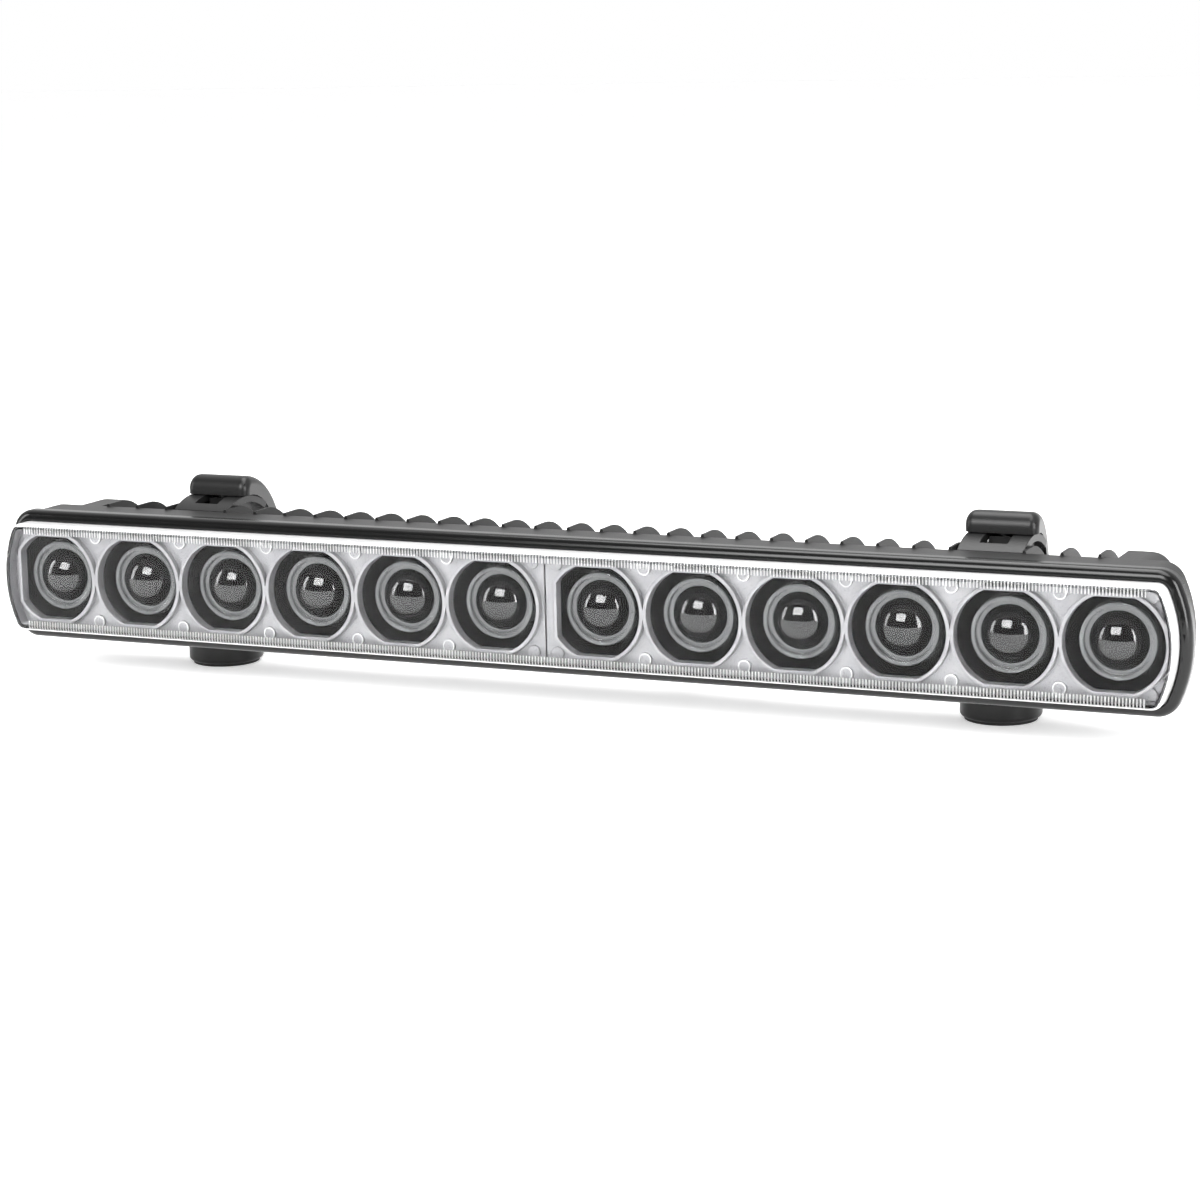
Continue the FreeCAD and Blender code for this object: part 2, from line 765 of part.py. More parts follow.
for module in (0, 1):
    make_mask(module)
    make_holder(module)
    for n in range(LENSES):
        make_lens(module, n)
    make_board(module)
make_board_screws()


# ---- driver: a board with its power parts in the bay behind the light sources

def make_driver():
    front = driver_front + 4
    back = front + S.board_thickness
    across = S.driver_length / 2 - 1.5
    rise = half_driver - 0.8
    sub_part("driver_board", block("driver_plate", (-across, across), (front, back), (-rise, rise)))
    spacers = [rod(f"driver_spacer_{n}", "y", ((across - 4) * side, driver_front, (rise - 3) * level),
                   2.2, front - driver_front)
               for n, (side, level) in enumerate(((-1, -1), (-1, 1), (1, -1), (1, 1)))]
    sub_part("driver_spacers", group("driver_spacer_set", *spacers))
    coil_radius = half_driver - 5
    coils = [rod(f"coil_{n}", "y", (x, back, 0), coil_radius, 8) for n, x in enumerate((-36, -18))]
    sub_part("driver_coils", group("coil_set", *coils))
    can_rise = half_driver / 2 - 1
    can_radius = can_rise - 0.6
    cans = [rod(f"can_{n}", "y", (x, back, can_rise * level), can_radius, 9)
            for n, (x, level) in enumerate(((-2, -1), (-2, 1), (8, -1), (8, 1)))]
    sub_part("driver_capacitors", group("can_set", *cans))
    switches = [block(f"switch_{n}", (x, x + 6), (back, back + 2), (-3.5, 3.5))
                for n, x in enumerate((-54, 16))]
    sub_part("driver_switches", group("switch_set", *switches))
    sub_part("driver_terminal", block("terminal", (46, 56), (back, back + 7), (-6, 6)))
    pins = [rod(f"link_{n}", "y", (x, board_back, 0), S.screw_radius, front - board_back)
            for n, x in enumerate(link_places())]
    sub_part("link_pins", group("link_set", *pins))


# ---- rear cover: a plate on a thin seal, with the cable gland and a pressure vent

vent_x = -S.driver_length / 4


def rear_slab(name, start, end, shrink):
    across = S.driver_length / 2 + S.rear_cover_margin - shrink
    rise = half_core - shrink
    return block(name, (-across, across), (start, end), (-rise, rise))


def make_rear_cover():
    seat = core_back
    inner = seat + S.rear_seal_thickness
    outer = inner + S.rear_cover_thickness
    length = outer - seat + 2
    clear = S.screw_radius + S.screw_clearance
    ring = rear_slab("rear_seal_slab", seat, inner, 0)
    half_bay = S.driver_length / 2
    half_rise = half_driver
    hollow = block("rear_seal_hollow", (-half_bay, half_bay), (seat - 1, inner + 1), (-half_rise, half_rise))
    nut_room = gland_nut_room("rear_seal_nut_room", seat - 1, inner + 1)
    sub_part("rear_seal", cut("rear_seal_cut", ring, hollow, nut_room,
                              *rear_cover_shanks("rear_seal_hole", clear, seat - 1, length)))
    gland_hole = rod("gland_hole", "y", (gland_x, inner - 1, 0), S.gland_radius + 0.1, outer - inner + 2)
    vent_hole = rod("vent_hole", "y", (vent_x, inner - 1, 0), S.gland_radius / 2 + 0.1, outer - inner + 2)
    sub_part("rear_cover", cut("rear_cover_cut", rear_slab("rear_cover_slab", inner, outer, 0),
                               gland_hole, vent_hole,
                               *rear_cover_shanks("rear_cover_hole", clear, seat - 1, length)))
    heads = rear_cover_shanks("rear_head", S.screw_head_radius, outer, S.screw_head_height)
    shanks = rear_cover_shanks("rear_shank", S.screw_radius, seat - rear_grip, outer - seat + rear_grip)
    screws = [fuse(f"rear_screw_{n}", *pair) for n, pair in enumerate(zip(heads, shanks))]
    sub_part("rear_cover_screws", group("rear_screw_set", *screws))
    make_gland(inner, outer)
    plug = rod("vent_cap", "y", (vent_x, outer, 0), S.gland_radius, 2)
    stem = rod("vent_stem", "y", (vent_x, inner - 1.5, 0), S.gland_radius / 2, outer - inner + 1.5)
    sub_part("vent_plug", fuse("vent", plug, stem))


def make_gland(inner, outer):
    """Cable gland: a threaded body through the cover, a nut inside, a rubber sleeve and a cap."""
    collar = 3
    barrel = 6
    sleeve_radius = S.cable_radius + 1.2
    body = fuse("gland_solid",
                rod("gland_thread", "y", (gland_x, inner - gland_reach, 0), S.gland_radius,
                    outer - inner + gland_reach),
                rod("gland_collar", "y", (gland_x, outer, 0), S.gland_radius + 2.4, collar),
                rod("gland_barrel", "y", (gland_x, outer + collar, 0), S.gland_radius, barrel))
    bore = rod("gland_bore", "y", (gland_x, inner - 6, 0), S.cable_radius + 0.4, outer - inner + 20)
    socket = rod("gland_socket", "y", (gland_x, outer + collar, 0), sleeve_radius, barrel + 1)
    sub_part("gland_body", cut("gland_body_cut", body, bore, socket))
    nut = rod("gland_nut_solid", "y", (gland_x, inner - 3, 0), gland_nut_radius, 3)
    nut_bore = rod("gland_nut_bore", "y", (gland_x, inner - 4, 0), S.gland_radius + 0.05, 5)
    sub_part("gland_nut", cut("gland_nut_cut", nut, nut_bore))
    sleeve = rod("gland_sleeve_solid", "y", (gland_x, outer + collar, 0), sleeve_radius, barrel)
    sleeve_bore = rod("gland_sleeve_bore", "y", (gland_x, outer + collar - 1, 0), S.cable_radius, barrel + 2)
    sub_part("gland_sleeve", cut("gland_sleeve_cut", sleeve, sleeve_bore))
    cap = rod("gland_cap_solid", "y", (gland_x, outer + collar + 0.3, 0), S.gland_radius + 1.8, barrel + 1.7)
    cap_bore = rod("gland_cap_bore", "y", (gland_x, outer + collar - 1, 0), S.gland_radius + 0.05, barrel + 1)
    cap_mouth = rod("gland_cap_mouth", "y", (gland_x, outer + collar, 0), S.cable_radius + 0.4, barrel + 4)
    sub_part("gland_cap", cut("gland_cap_cut", cap, cap_bore, cap_mouth))


make_driver()
make_rear_cover()


# ---- brackets: saddles on the bar, and a C-shaped arm with hood and foot that tilts round them

def disc(name, side, radius, width):
    """Solid disc about the tilt axis, centred on a bracket."""
    return rod(name, "x", (bracket_x * side - Size.of(width) / 2, 0, 0), radius, width)


def wedge(name, side, width, front, rear, level):
    """Wedge with its point on the tilt axis, from front to rear degrees off the vertical."""
    reach = 80
    front_angle = math.radians(front)
    rear_angle = math.radians(rear)
    corners = (
        (0, 0),
        (-reach * math.sin(front_angle), reach * math.cos(front_angle) * level),
        (reach * math.sin(rear_angle), reach * math.cos(rear_angle) * level))
    half = Size.of(width) / 2
    middle = bracket_x * side
    return prism(name, "x", middle - half, middle + half, polygon(*corners))


def plan_taper(name, side, front, narrowing):
    """Plan shape of a bracket: full width in front, narrowing to its tail."""
    middle = bracket_x * side
    wide = S.bracket_width / 2 - narrowing
    tail = S.bracket_tail_width / 2 - narrowing
    far = hood_radius + 1
    corners = ((middle - wide, front), (middle + wide, front), (middle + tail, far), (middle - tail, far))
    return prism(name, "z", -hood_radius - 2, hood_radius + 2, polygon(*corners))


def make_saddle(side, level):
    """Curved rail screwed on the core, with a slot that the clamp nut's neck slides in."""
    name = f"saddle_{SIDES[side > 0]}_{'upper' if level > 0 else 'lower'}"
    inner_radius = saddle_radius - S.saddle_thickness
    ring = cut(name + "_ring", disc(name + "_outer", side, saddle_radius, S.saddle_width),
               disc(name + "_inner", side, inner_radius, S.saddle_width + 2))
    rail = common(name + "_rail", ring,
                  wedge(name + "_sector", side, S.saddle_width + 4, SADDLE_FRONT, SADDLE_REAR, level))
    half_body = S.saddle_body_width / 2
    middle = bracket_x * side
    heights = (half_core, saddle_radius) if level > 0 else (-saddle_radius, -half_core)
    trunk_block = block(name + "_trunk_block", (middle - half_body, middle + half_body),
                        (flange_back + 1.5, core_back + S.fin_rear), heights)
    trunk = common(name + "_trunk", trunk_block, disc(name + "_trunk_disc", side, inner_radius + 0.4, 40))
    channel_width = S.slot_width + 5.2
    channel = cut(name + "_channel", disc(name + "_channel_outer", side, inner_radius, channel_width),
                  disc(name + "_channel_inner", side, inner_radius - 5.5, channel_width + 2))
    slot = common(name + "_slot", disc(name + "_slot_disc", side, saddle_radius + 2, S.slot_width),
                  wedge(name + "_slot_sector", side, S.slot_width + 2, SLOT_FRONT, SLOT_REAR, level))
    slot_cut = cut(name + "_slot_cut", slot, disc(name + "_slot_floor", side, inner_radius - 1, S.slot_width + 4))
    clear = S.screw_radius + S.screw_clearance
    holes = saddle_shanks(name + "_hole", side, level, clear, half_core - 1, 20)
    seats = saddle_shanks(name + "_seat", side, level, S.screw_head_radius + S.fit_gap,
                          half_core + saddle_floor, 20)
    solid = fuse(name + "_solid", rail, trunk)
    opened = cut(name + "_opened", solid, channel, slot_cut)
    ceiling = common(name + "_seat_limit", fuse(name + "_seats", *seats),
                     disc(name + "_seat_disc", side, inner_radius - 1, 40))
    bores = common(name + "_hole_limit", fuse(name + "_holes", *holes),
                   disc(name + "_hole_disc", side, inner_radius - 1, 40))
    sub_part(name, cut(name + "_cut", opened, ceiling, bores))


def make_saddle_screws():
    screws = []
    for side in (-1, 1):
        for level in (-1, 1):
            base = half_core + saddle_floor
            heads = saddle_shanks("saddle_head", side, level, S.screw_head_radius, base, S.screw_head_height)
            shanks = saddle_shanks("saddle_shank", side, level, S.screw_radius, half_core - saddle_grip,
                                   base - half_core + saddle_grip)
            screws += [fuse(f"saddle_screw_{side}_{level}_{n}", *pair)
                       for n, pair in enumerate(zip(heads, shanks))]
    sub_part("saddle_screws", group("saddle_screw_set", *screws))


def bracket_envelope(name, side):
    """Outer shape that the arm and its hood share: a tapered half disc behind the bar."""
    lip = -S.hood_wall - 1
    middle = bracket_x * side
    reach = hood_radius + 2
    half_disc = common(name + "_half", disc(name + "_disc", side, hood_radius, S.bracket_width + 2),
                       block(name + "_rear", (middle - reach, middle + reach), (lip, reach), (-reach, reach)))
    nosed = round_edges(name + "_nosed", half_disc, S.hood_nose_radius, lambda e: lies_across(e))
    tapered = common(name + "_tapered", nosed, plan_taper(name + "_plan", side, lip - 1, 0))
    return round_edges(name + "_sides", tapered, S.hood_edge_radius, lambda e: not lies_across(e))


def lies_across(edge):
    """Edges of a bracket that run from its one side to the other."""
    box = edge.BoundBox
    return box.XLength > S.bracket_tail_width.value * 0.9 and box.YLength < 0.01 and box.ZLength < 0.01


def make_arm(side):
    name = f"arm_{SIDES[side > 0]}"
    inner_radius = saddle_radius + S.arm_gap
    middle = bracket_x * side
    shell = bracket_envelope(name + "_envelope", side)
    hood_zone = wedge(name + "_hood_zone", side, S.bracket_width + 8, 30, HOOD_REAR, 1)
    spine = cut(name + "_spine", shell, hood_zone)
    head_radius = inner_radius + S.arm_thickness
    strip = common(name + "_strip", disc(name + "_strip_disc", side, head_radius, S.bracket_width),
                   plan_taper(name + "_strip_plan", side, -S.hood_wall / 2, S.hood_wall + S.fit_gap),
                   wedge(name + "_strip_zone", side, S.bracket_width + 8, 30, HOOD_REAR + 4, 1))
    foot_bottom = -axis_height + S.foot_pad_thickness
    foot = rod(name + "_foot_post", "z", (middle, 0, foot_bottom), S.foot_radius, axis_height - 20)
    foot_round = round_edges(name + "_foot", foot, S.hood_edge_radius / 2,
                             lambda e: e.BoundBox.ZMax < S.foot_pad_thickness.value + 0.1)
    solid = fuse(name + "_solid", spine, strip, foot_round)
    bore = disc(name + "_bore", side, inner_radius, S.bracket_width + 20)
    slope = math.tan(math.radians(TILT_DOWN))
    drop = (fin_reach + 0.6) / math.cos(math.radians(TILT_DOWN))
    relief = prism(name + "_relief", "x", middle - 20, middle + 20,
                   polygon((0, 0), (0, -drop), (-60, -drop - 60 * slope), (-60, 0)))
    insert_hole = rod(name + "_insert_hole", "z", (middle, 0, foot_bottom - 1), S.insert_radius,
                      S.insert_length - S.foot_pad_thickness + 1)
    screw_hole = rod(name + "_screw_hole", "z", (middle, S.clamp_setback, 20), S.clamp_radius + 0.2, 20)
    head_seat = rod(name + "_head_seat", "z", (middle, S.clamp_setback, clamp_seat),
                    S.clamp_radius + 2.1, 10)
    sub_part(f"bracket_arm_{SIDES[side > 0]}", cut(name + "_cut", solid, bore, relief, insert_hole,
                                                   screw_hole, head_seat))


def make_hood(side):
    name = f"hood_{SIDES[side > 0]}"
    shell = bracket_envelope(name + "_envelope", side)
    zone = wedge(name + "_zone", side, S.bracket_width + 8, 30, HOOD_REAR - 0.5, 1)
    cap = common(name + "_cap", shell, zone)
    ceiling = clamp_seat + S.clamp_head_height + S.fit_gap
    middle = bracket_x * side
    reach = hood_radius
    hollow = common(name + "_hollow", disc(name + "_hollow_disc", side, hood_radius - S.hood_wall, S.bracket_width),
                    plan_taper(name + "_hollow_plan", side, -S.hood_wall / 2 - S.fit_gap, S.hood_wall),
                    block(name + "_below_ceiling", (middle - reach, middle + reach), (-reach, reach), (0, ceiling)))
    bore = disc(name + "_bore", side, saddle_radius + S.arm_gap, S.bracket_width + 20)
    sub_part(f"bracket_hood_{SIDES[side > 0]}", cut(name + "_cut", cap, hollow, bore))


def make_bracket_fittings(side):
    """Clamp screw and its nut, threaded insert and pad of the foot."""
    label = SIDES[side > 0]
    middle = bracket_x * side
    y = S.clamp_setback
    nut_top = saddle_radius - S.saddle_thickness - 2.2
    nut_bottom = nut_top - 3
    head = rod(f"clamp_head_{label}", "z", (middle, y, clamp_seat), S.clamp_radius + 1.8,
               S.clamp_head_height)
    shank = rod(f"clamp_shank_{label}", "z", (middle, y, nut_bottom), S.clamp_radius, clamp_seat - nut_bottom)
    sub_part(f"clamp_screw_{label}", fuse(f"clamp_screw_solid_{label}", head, shank))
    half_neck = S.slot_width / 2 - S.fit_gap
    plate = block(f"nut_plate_{label}", (middle - 7, middle + 7), (y - 5.5, y + 5.5), (nut_bottom, nut_top))
    neck = block(f"nut_neck_{label}", (middle - half_neck, middle + half_neck), (y - 4, y + 4),
                 (nut_top, saddle_radius - 1.3))
    bore = rod(f"nut_bore_{label}", "z", (middle, y, nut_bottom - 1), S.clamp_radius + 0.05, 12)
    sub_part(f"clamp_nut_{label}", cut(f"clamp_nut_cut_{label}", fuse(f"nut_solid_{label}", plate, neck), bore))
    bottom = -axis_height
    insert = rod(f"insert_solid_{label}", "z", (middle, 0, bottom), S.insert_radius, S.insert_length)
    thread = rod(f"insert_bore_{label}", "z", (middle, 0, bottom - 1), S.thread_radius, S.insert_length + 2)
    sub_part(f"foot_insert_{label}", cut(f"insert_cut_{label}", insert, thread))
    sheet_pad = rod(f"foot_pad_solid_{label}", "z", (middle, 0, bottom), S.foot_radius - S.hood_edge_radius / 2,
                    S.foot_pad_thickness)
    pad_hole = rod(f"foot_pad_hole_{label}", "z", (middle, 0, bottom - 1), S.insert_radius + 0.1, 4)
    sub_part(f"foot_pad_{label}", cut(f"foot_pad_cut_{label}", sheet_pad, pad_hole))


for side in (-1, 1):
    for level in (1, -1):
        make_saddle(side, level)
make_saddle_screws()
for side in (-1, 1):
    make_arm(side)
    make_hood(side)
    make_bracket_fittings(side)


# ---- check every object and write one file for each piece

def check_and_write():
    doc.recompute()
    failed = [item.Label for item in doc.Objects if any(mark in item.State for mark in ("Invalid", "Error"))]
    if failed:
        raise RuntimeError(f"objects left failed: {failed}")
    os.makedirs("parts", exist_ok=True)
    for node, item in nodes.items():
        shape = item.Shape
        if shape.isNull() or not shape.isValid() or not shape.Solids:
            raise RuntimeError(f"{node} has no valid solid")
    for node, item in nodes.items():
        item.Shape.exportStep(f"parts/{node}.step")


check_and_write()
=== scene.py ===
"""Slim LED light bar on two tilting brackets, with twelve projector lenses behind a clear cover.

Metres. The bar lies along X, shines towards -Y and has +Z up. The sections follow the bar as it is
put together: housing, driver, light sources, lenses, mask, cover, frame, rear cover, brackets.
"""
import bmesh
import bpy
import json
from math import pi, radians, sin
from mathutils import Matrix, Vector


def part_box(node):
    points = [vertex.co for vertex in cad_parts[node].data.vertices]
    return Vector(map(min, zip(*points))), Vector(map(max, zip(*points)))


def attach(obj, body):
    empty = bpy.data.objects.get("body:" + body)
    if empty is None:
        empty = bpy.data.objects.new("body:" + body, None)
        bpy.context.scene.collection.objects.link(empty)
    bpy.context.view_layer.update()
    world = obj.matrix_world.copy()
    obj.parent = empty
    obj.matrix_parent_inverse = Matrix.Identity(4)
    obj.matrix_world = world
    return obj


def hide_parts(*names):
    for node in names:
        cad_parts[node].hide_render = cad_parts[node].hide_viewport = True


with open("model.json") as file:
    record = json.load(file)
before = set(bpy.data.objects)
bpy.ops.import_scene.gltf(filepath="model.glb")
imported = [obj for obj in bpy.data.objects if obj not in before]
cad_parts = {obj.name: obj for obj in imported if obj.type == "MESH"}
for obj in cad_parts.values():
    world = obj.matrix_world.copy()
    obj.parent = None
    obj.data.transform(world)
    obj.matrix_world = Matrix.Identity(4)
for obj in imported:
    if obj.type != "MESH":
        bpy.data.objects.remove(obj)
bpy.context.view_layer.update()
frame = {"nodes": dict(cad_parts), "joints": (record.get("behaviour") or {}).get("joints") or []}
MM = 0.001


# ---- camera and light: a small white studio, with a camera in front of the bar and to its right.
# A wide soft box hangs above, a tall one stands at each side, and one is high up in front.

CAMERA_PLACE = (0.4434, -0.9953, 0.2428)
CAMERA_TURN = radians(23.82)
CAMERA_DIP = radians(-10.88)
CAMERA_LEAN = radians(1.24)
SOFT_BOXES = (
    # name, place, width, height, power
    ("above", (0.10, 0.10, 1.30), 1.60, 0.70, 22),
    ("right", (1.25, -0.55, 0.45), 0.45, 0.90, 20),
    ("left", (-1.20, -0.60, 0.45), 0.30, 0.90, 8),
    ("front", (-0.10, -1.20, 0.90), 0.90, 0.70, 26),
)

camera_lens = bpy.data.cameras.new("camera")
camera_lens.sensor_width = 36
camera_lens.lens = 88.74
camera = bpy.data.objects.new("camera", camera_lens)
aim = (Matrix.Rotation(CAMERA_TURN, 4, "Z") @ Matrix.Rotation(CAMERA_DIP, 4, "X")
       @ Matrix.Rotation(CAMERA_LEAN, 4, "Y") @ Matrix.Rotation(pi / 2, 4, "X"))
camera.matrix_world = Matrix.Translation(CAMERA_PLACE) @ aim
bpy.context.scene.collection.objects.link(camera)
bpy.context.scene.camera = camera
bpy.context.scene.view_settings.view_transform = "Standard"

tilt_axis = Vector((0, *frame["joints"][0]["pos_m"][1:]))
for name, place, width, height, power in SOFT_BOXES:
    lamp = bpy.data.lights.new("soft_box_" + name, "AREA")
    lamp.shape = "RECTANGLE"
    lamp.size = width
    lamp.size_y = height
    lamp.energy = power
    soft_box = bpy.data.objects.new("soft_box_" + name, lamp)
    facing = (tilt_axis - Vector(place)).to_track_quat("-Z", "Y")
    soft_box.matrix_world = Matrix.Translation(place) @ facing.to_matrix().to_4x4()
    bpy.context.scene.collection.objects.link(soft_box)


class Value:
    """Shader socket used in a plain expression, which adds the Math nodes for it."""

    def __init__(self, tree, socket):
        self.tree = tree
        self.socket = socket

    def worked(self, operation, first, second):
        node = self.tree.nodes.new("ShaderNodeMath")
        node.operation = operation
        for socket, given in zip(node.inputs, (first, second)):
            feed(self.tree, socket, given)
        return Value(self.tree, node.outputs[0])

    def __add__(self, other):
        return self.worked("ADD", self, other)

    def __mul__(self, other):
        return self.worked("MULTIPLY", self, other)

    def __gt__(self, other):
        return self.worked("GREATER_THAN", self, other)

    __radd__ = __add__
    __rmul__ = __mul__


def feed(tree, socket, given):
    """Link a Value to a socket, or set the socket to a plain number or colour."""
    if isinstance(given, Value):
        tree.links.new(given.socket, socket)
    else:
        socket.default_value = given


class Nodes:
    """Node tree being filled."""

    def __init__(self, tree):
        self.tree = tree

    def node(self, kind, settings=None, sockets=None, out=0):
        node = self.tree.nodes.new("ShaderNode" + kind)
        for key, value in (settings or {}).items():
            setattr(node, key, value)
        for key, given in (sockets or {}).items():
            feed(self.tree, node.inputs[key], given)
        return Value(self.tree, node.outputs[out])


class Finish(Nodes):
    """Material being made: even values go on the surface's own sockets, the rest comes from nodes."""

    def __init__(self, name, **even):
        self.material = bpy.data.materials.new(name)
        self.material.use_nodes = True
        super().__init__(self.material.node_tree)
        self.surface = self.tree.nodes["Principled BSDF"]
        self.vary(**even)
        self.place = self.node("TexCoord", out="Object")

    def vary(self, **sockets):
        for key, given in sockets.items():
            feed(self.tree, self.surface.inputs[key.replace("_", " ")], given)

    def noise(self, grain, detail=2.0):
        """Cloudy noise from 0 to 1 whose patches are about as wide as grain, in metres."""
        return self.node("TexNoise", None, {"Vector": self.place, "Scale": 1 / grain, "Detail": detail})

    def between(self, factor, first, second):
        return self.node("Mix", {"data_type": "RGBA"}, {0: factor, 6: first, 7: second}, out=2)

    def raised(self, height, depth, edge=0.0):
        """Bump of that depth in metres, over edges that look rounded by edge."""
        sockets = {"Height": height, "Distance": depth, "Strength": 1.0}
        if edge:
            sockets["Normal"] = self.node("Bevel", {"samples": 4}, {"Radius": edge})
        self.vary(Normal=self.node("Bump", None, sockets))

    def coat(self, *nodes):
        """Put this finish on carried-over nodes."""
        for node in nodes:
            frame["nodes"][node].data.materials.clear()
            frame["nodes"][node].data.materials.append(self.material)


def grey(level):
    return (level, level, level, 1)


REAR_WALL = 1.0
FRONT_WALL = 0.06
WALL_BLEND = 0.3
FLOOR_HALF_SIZE = 12

studio = bpy.data.worlds.new("studio")
studio.use_nodes = True
studio.node_tree.nodes["Background"].inputs["Color"].default_value = (1, 1, 1, 1)
room = Nodes(studio.node_tree)
direction = room.node("TexCoord", out="Generated")
depth = room.node("SeparateXYZ", None, {"Vector": direction}, out="Y")
behind = room.node("MapRange", {"clamp": True},
                   {"Value": depth, "From Min": -WALL_BLEND, "From Max": WALL_BLEND})
feed(room.tree, studio.node_tree.nodes["Background"].inputs["Strength"],
     behind * (REAR_WALL - FRONT_WALL) + FRONT_WALL)
bpy.context.scene.world = studio

floor_finish = Finish("pale_floor", Roughness=0.7, Specular_IOR_Level=0.1, Emission_Color=grey(1.0),
                      Emission_Strength=0.5)
floor_finish.vary(Base_Color=floor_finish.between(floor_finish.noise(0.2), grey(0.86), grey(0.9)))
floor_shape = bmesh.new()
bmesh.ops.create_grid(floor_shape, x_segments=1, y_segments=1, size=FLOOR_HALF_SIZE)
floor_mesh = bpy.data.meshes.new("floor")
floor_shape.to_mesh(floor_mesh)
floor_mesh.materials.append(floor_finish.material)
floor = bpy.data.objects.new("floor", floor_mesh)
bpy.context.scene.collection.objects.link(floor)


# ---- housing: one aluminium die casting with the front flange, end blocks and cooling fins.
# It is blasted and powder coated in satin charcoal, which leaves a fine even grain.

def powder_coat(name, level, roughness):
    """Satin powder coat: a fine orange-peel grain, and edges rounded by the thickness of the coat."""
    coat = Finish(name, Specular_IOR_Level=0.3)
    grain = coat.noise(0.35 * MM, 3)
    cloud = coat.noise(25 * MM)
    coat.vary(Base_Color=coat.between(cloud, grey(level * 0.85), grey(level * 1.15)),
              Roughness=grain * 0.12 + cloud * 0.06 + (roughness - 0.09))
    coat.raised(grain, 0.02 * MM, 0.45 * MM)
    return coat


powder_coat("charcoal_powder_coat", 0.007, 0.4).coat("housing")


# ---- driver: a green board on four spacers in the rear bay, with coils, capacitors and switches.
# Its parts are soldered on, and two pins carry the current to the light-source boards.

green_board = Finish("green_board", Roughness=0.35)
tracks = green_board.noise(1.5 * MM) > 0.55
green_board.vary(Base_Color=green_board.between(tracks, (0.01, 0.09, 0.03, 1), (0.02, 0.15, 0.05, 1)))
green_board.coat("driver_board")

ferrite = Finish("ferrite")
ferrite.vary(Base_Color=ferrite.between(ferrite.noise(0.8 * MM), grey(0.03), grey(0.06)),
             Roughness=ferrite.noise(0.5 * MM) * 0.2 + 0.5)
ferrite.coat("driver_coils", "driver_switches")


def bare_metal(name, tint, roughness, grain=0.4 * MM):
    """Bare or plated metal with a fine uneven polish."""
    metal = Finish(name, Metallic=1.0, Base_Color=tint)
    spread = metal.noise(grain, 3)
    metal.vary(Roughness=spread * 0.15 + roughness)
    metal.raised(spread, 0.01 * MM, 0.15 * MM)
    return metal


bare_metal("can_aluminium", grey(0.7), 0.25).coat("driver_capacitors")
steel = bare_metal("zinc_plated_steel", grey(0.55), 0.28)
steel.coat("board_screws", "rear_cover_screws", "saddle_screws")
bare_metal("brass", (0.7, 0.5, 0.2, 1), 0.25).coat("driver_spacers", "link_pins", "foot_insert_left",
                                                   "foot_insert_right")

terminal_plastic = Finish("terminal_plastic")
mottle = terminal_plastic.noise(2 * MM)
blue = terminal_plastic.between(mottle, (0.02, 0.07, 0.2, 1), (0.03, 0.09, 0.25, 1))
terminal_plastic.vary(Base_Color=blue, Roughness=terminal_plastic.noise(0.5 * MM) * 0.2 + 0.4)
terminal_plastic.coat("driver_terminal")


# ---- light sources: two aluminium-core boards with a black solder mask and six chips each.
# They are screwed to the housing over soft grey pads that carry the heat away.

black_board = Finish("black_solder_mask")
black_board.vary(Base_Color=black_board.between(black_board.noise(3 * MM), grey(0.008), grey(0.014)),
                 Roughness=black_board.noise(0.6 * MM) * 0.15 + 0.35)
black_board.coat("led_board_left", "led_board_right")

phosphor = Finish("chip_phosphor")
powder = phosphor.noise(0.15 * MM)
phosphor.vary(Base_Color=phosphor.between(powder, (0.10, 0.085, 0.03, 1), (0.14, 0.12, 0.05, 1)),
              Roughness=phosphor.noise(0.2 * MM) * 0.2 + 0.5)
phosphor.coat("led_chips_left", "led_chips_right")

heat_pad = Finish("silicone_heat_pad")
heat_pad.vary(Base_Color=heat_pad.between(heat_pad.noise(1 * MM), grey(0.25), grey(0.32)),
              Roughness=heat_pad.noise(1 * MM) * 0.1 + 0.7)
heat_pad.coat("heat_pad_left", "heat_pad_right")


# ---- lens holders: two dark mouldings with six conical wells that keep stray light in.
# They are fine-textured black plastic, located on the boards by four pins each.

def moulded(name, level, roughness, edge=0.3 * MM, grain=0.25 * MM, texture_depth=0.015 * MM, shine=0.25):
    """Moulded black plastic with a spark-eroded texture."""
    plastic = Finish(name, Specular_IOR_Level=shine)
    texture = plastic.noise(grain, 3)
    cloud = plastic.noise(12 * MM)
    plastic.vary(Base_Color=plastic.between(cloud, grey(level * 0.85), grey(level * 1.15)),
                 Roughness=texture * 0.12 + (roughness - 0.06))
    plastic.raised(texture, texture_depth, edge)
    return plastic


dark_moulding = moulded("dark_moulding", 0.01, 0.24, texture_depth=0.003 * MM, shine=0.5)
dark_moulding.coat("lens_holder_left", "lens_holder_right")


# ---- lenses: twelve optical-grade projector lenses, each a dome with a flange and a raised rim.
# The flange and rim are clear, and each sits in a well of its holder. The dome is drawn opaque and
# dark with a high polish: its dark colour is painted shade for the dark well seen through the clear dome.

def finished(name, shape, body, finish, slot, *stands_for, sharp=35):
    """Turn a bmesh into a piece that rides on a body and stands for CAD nodes."""
    mesh = bpy.data.meshes.new(name)
    shape.to_mesh(mesh)
    shape.free()
    mesh.shade_smooth()
    mesh.set_sharp_from_angle(angle=radians(sharp))
    mesh.materials.append(finish.material)
    piece = bpy.data.objects.new(name, mesh)
    bpy.context.scene.collection.objects.link(piece)
    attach(piece, body)
    if stands_for:
        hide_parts(*stands_for)
    return piece


